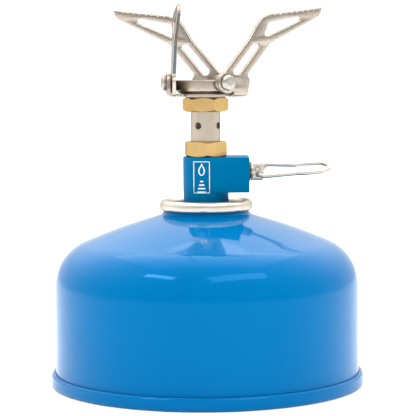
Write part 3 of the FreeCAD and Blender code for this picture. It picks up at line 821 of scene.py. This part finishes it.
def rivet_stack(number, turn):
    """Domed rivet with a small dimple, the washer under its head and the spring washer inside the ear."""
    facing = outward(turn, 0.0)
    dome = [(2.65, 14.28, 0.1), (2.75, 14.38, 0.1), (2.75, 14.62, 0.35), (2.3, 15.18, 0.8), (1.3, 15.48, 1.2),
            (0.72, 15.51, 0.12), (0.38, 15.12, 0.1), (0, 15.08)]
    shank = [(0, 10.34), (2.3, 10.34, 0.15), (2.5, 10.5, 0.1), (2.5, 10.74), (1.5, 10.74), (1.5, 14.28)]
    rivet = turned("rivet_dome_%d" % number, rounded(shank + dome, closed=False, steps=7), 64, closed=False,
                   place=facing, sharp=40)
    piece(rivet, "stove", "rivet_%d" % number, SATIN)
    shim = turned("head_shim_%d" % number, rounded([
        (1.55, 13.72), (2.55, 13.72, 0.08), (2.65, 13.8, 0.08), (2.65, 14.17, 0.08), (2.55, 14.25, 0.08),
        (1.55, 14.25)], steps=3), 64, place=facing)
    piece(shim, "stove", "head_washer_%d" % number, DULL)
    spring = turned("arm_shim_%d" % number, [
        (1.55, 12.16), (2.9, 12.16), (3.0, 12.2), (3.0, 12.42), (2.9, 12.46), (1.55, 12.46)], 64,
                    place=facing)
    piece(spring, "stove", "arm_washer_%d" % number, DULL)


def arm_outline():
    """Outside edge of a pot support, with its serrated top; heights from its rivet."""
    rise = [(0.2, 3.72, 1.0), (10.6, 14.92, 4.0), (13.9, 20.0, 3.0), (16.2, 22.5, 2.5), (20.0, 23.75, 0.6)]
    row_start, row_end = (20.6, 23.8), (40.2, 25.9)
    teeth = []
    for k in range(NOTCHES):
        a, b = (k + 0.15) / NOTCHES, (k + 0.52) / NOTCHES
        for t, drop in ((a, 0.0), (a + 0.016, NOTCH_DEPTH), (b - 0.016, NOTCH_DEPTH), (b, 0.0)):
            along = row_start[0] + (row_end[0] - row_start[0]) * t
            teeth.append((along, row_start[1] + (row_end[1] - row_start[1]) * t - drop, 0.16))
    tip = [(41.9, 26.1, 0.25), (42.2, 25.7, 0.3), (41.5, 24.1, 1.0), (40.2, 22.75, 1.5)]
    heel = [(19.5, 13.65, 6.0), (9.5, 2.6, 1.5), (10.65, 0.95, 0.8), (10.5, -0.4, 1.0), (9.75, -3.9, 0.3),
            (9.4, -4.4, 0.2), (8.5, -4.4, 0.1), (8.5, -3.74, 0.1), (1.9, -3.74, 0.4)]
    return rounded(rise + teeth + tip + heel + arc((0, 0), ARM_EYE_R, -70, -255, 14))


ARM_WINDOW = rounded([(16.7, 16.3, 0.8), (18.8, 20.8, 1.2), (32.7, 23.15, 0.8), (32.9, 21.45, 0.8),
                      (18.4, 15.9, 0.8)], steps=6)
ARM_SLOT = rounded([(3.5, 4.05, 1.0), (12.2, 13.45, 1.0), (16.1, 13.45, 1.0), (6.2, 2.65, 1.0),
                    (4.3, 2.5, 0.8)], steps=6)


def pot_support(number, turn):
    """Serrated plate arm with a window and a slot."""
    arm = sheet("arm_%d" % number, arm_outline(), [ARM_WINDOW, ARM_SLOT, circle(1.55)], ARM_T, ARM_EDGE,
                outward(turn, ARM_DEPTH))
    node = "pot_support_%d" % number
    piece(arm, node, node, STEEL)


bracket()
for number, turn in enumerate(ARM_TURNS, 1):
    rivet_stack(number, turn)
for number, turn in enumerate(ARM_TURNS, 1):
    pot_support(number, turn)


# ---------------------------------------------------------------- handle

HINGE_X, HINGE_Z = 18.0, 73.5
HALF_GAP = 2.82  # from the handle's middle to either leg
HANDLE_R = 0.74


def wire_handle():
    """Bent wire: into the head from -Y, out along one leg, round the eye at its end and back on the other."""
    front = [(HINGE_X, -HALF_GAP, 0.0, 0.95), (20.6, -HALF_GAP, -0.55, 4.0), (31.5, 0.1 - HALF_GAP, 0.4, 2.5)]
    eye = [(35.0, -3.6, 0.55, 2.5), (41.0, -3.5, 1.05, 1.6), (43.0, -1.6, 1.75, 1.3), (43.0, 1.6, 2.95, 1.3),
           (41.0, 3.5, 3.55, 1.6), (35.0, 3.6, 3.35, 2.5)]
    rear = [(31.5, HALF_GAP - 0.1, 3.0, 2.5), (21.6, HALF_GAP, 3.3, 1.6), (HINGE_X, HALF_GAP, 0.0, 0.95)]
    corners = [(x, y, HINGE_Z + rise, radius) for x, y, rise, radius in front + eye + rear]
    path = bend_path([(HINGE_X, -0.2, HINGE_Z)] + corners + [(HINGE_X, 0.2, HINGE_Z)])
    piece(wire("wire_handle", path, HANDLE_R), "handle", "handle", WARM)


wire_handle()


# ---------------------------------------------------------------- CAD nodes shown as they are

for name, mat in (("cup_gasket", RUBBER), ("valve_housing", ACETAL), ("stem_gasket", RUBBER),
                  ("valve_stem", BRASS), ("valve_spring", BRIGHT), ("connector_seal", RUBBER),
                  ("depressor_pin", BRASS), ("inlet_filter", BRONZE), ("burner_neck", BRASS),
                  ("neck_locknut", BRASS), ("spindle_seal", RUBBER), ("head_pin", BRIGHT), ("gauze", DULL)):
    dress(nodes[name], mat)
for name, mat, width, segments in (("spindle", WARM, 0.12, 2), ("jet", BRASS, 0.06, 2),
                                   ("gland_ring", RUBBER, 0.08, 2), ("burner_plate", STEEL, 0.04, 1),
                                   ("bracket_washer", DULL, 0.05, 1), ("burner_washer", DULL, 0.05, 1)):
    soften(dress(nodes[name], mat), width, segments)


# ---------------------------------------------------------------- stage

AIM = Vector((0, 0, 0.06))  # metres: the middle of the object


def grey(value):
    """Grey as an RGB colour."""
    return (value, value, value)


def white_floor():
    """Plain floor with a slight glow of its own, which keeps it white."""
    bpy.ops.mesh.primitive_plane_add(size=60.0, location=(0, 0, -0.05 * MM))
    floor = bpy.context.object
    floor.name = "floor"
    mat, tree, bsdf = new_material("floor_white")
    tone = noise_at(tree, coords(tree), 3.0, 2.0, 0.5)
    colour = ramp(tree, tone, [(0.3, (0.93, 0.935, 0.94)), (0.7, (0.95, 0.955, 0.96))])
    tree.links.new(colour, bsdf.inputs["Base Color"])
    bsdf.inputs["Roughness"].default_value = 0.9
    bsdf.inputs["Emission Color"].default_value = (1, 1, 1, 1)
    bsdf.inputs["Emission Strength"].default_value = 0.12
    dress(floor, mat)


def studio_world():
    """White surroundings, darker behind the camera and towards the horizon."""
    world = bpy.data.worlds.new("studio")
    scene.world = world
    world.use_nodes = True
    tree = world.node_tree
    back = tree.nodes["Background"]
    depth = span(tree, axis(tree, "Generated", "Y"), -0.6, 0.6)
    level = ramp(tree, depth, [(0.0, grey(0.25)), (0.55, grey(0.68)), (1.0, grey(1.0))])
    height = span(tree, axis(tree, "Generated", "Z"), 0.25, 0.70)
    rise = ramp(tree, height, [(0.0, grey(0.45)), (1.0, grey(1.0))])
    tree.links.new(mix(tree, 1.0, level, rise, "MULTIPLY"), back.inputs["Color"])
    back.inputs["Strength"].default_value = 2.4


def soft_light(name, size, place, power):
    """Rectangular light, sizes and place in metres, aimed at the object."""
    data = bpy.data.lights.new(name, "AREA")
    data.shape = "RECTANGLE"
    data.size, data.size_y = size
    data.energy = power
    light = bpy.data.objects.new(name, data)
    light.location = place
    light.rotation_euler = (AIM - light.location).to_track_quat("-Z", "Y").to_euler()
    scene.collection.objects.link(light)


def photo_camera():
    """Long lens a little above the ground, in front of the object; places in metres, turns in radians."""
    data = bpy.data.cameras.new("camera")
    camera = bpy.data.objects.new("camera", data)
    scene.collection.objects.link(camera)
    data.sensor_width = 36.0
    data.lens = 150.4
    data.clip_start = 0.02
    camera.location = (-0.0079, -0.6086, 0.1130)
    pan = Matrix.Rotation(-0.014, 4, "Z")
    tilt = Matrix.Rotation(math.radians(90) - 0.084, 4, "X")
    roll = Matrix.Rotation(-0.0074, 4, "Z")
    camera.rotation_euler = (pan @ tilt @ roll).to_euler()
    scene.camera = camera


white_floor()
studio_world()
soft_light("top_soft", (1.2, 1.0), (0.0, 0.35, 1.15), 4.5)
soft_light("key_left", (0.50, 0.16), (-0.66, -0.58, 1.16), 4.6)
soft_light("key_right", (0.95, 0.34), (0.44, -0.74, 1.20), 6.2)
photo_camera()
scene.view_settings.view_transform = "Standard"
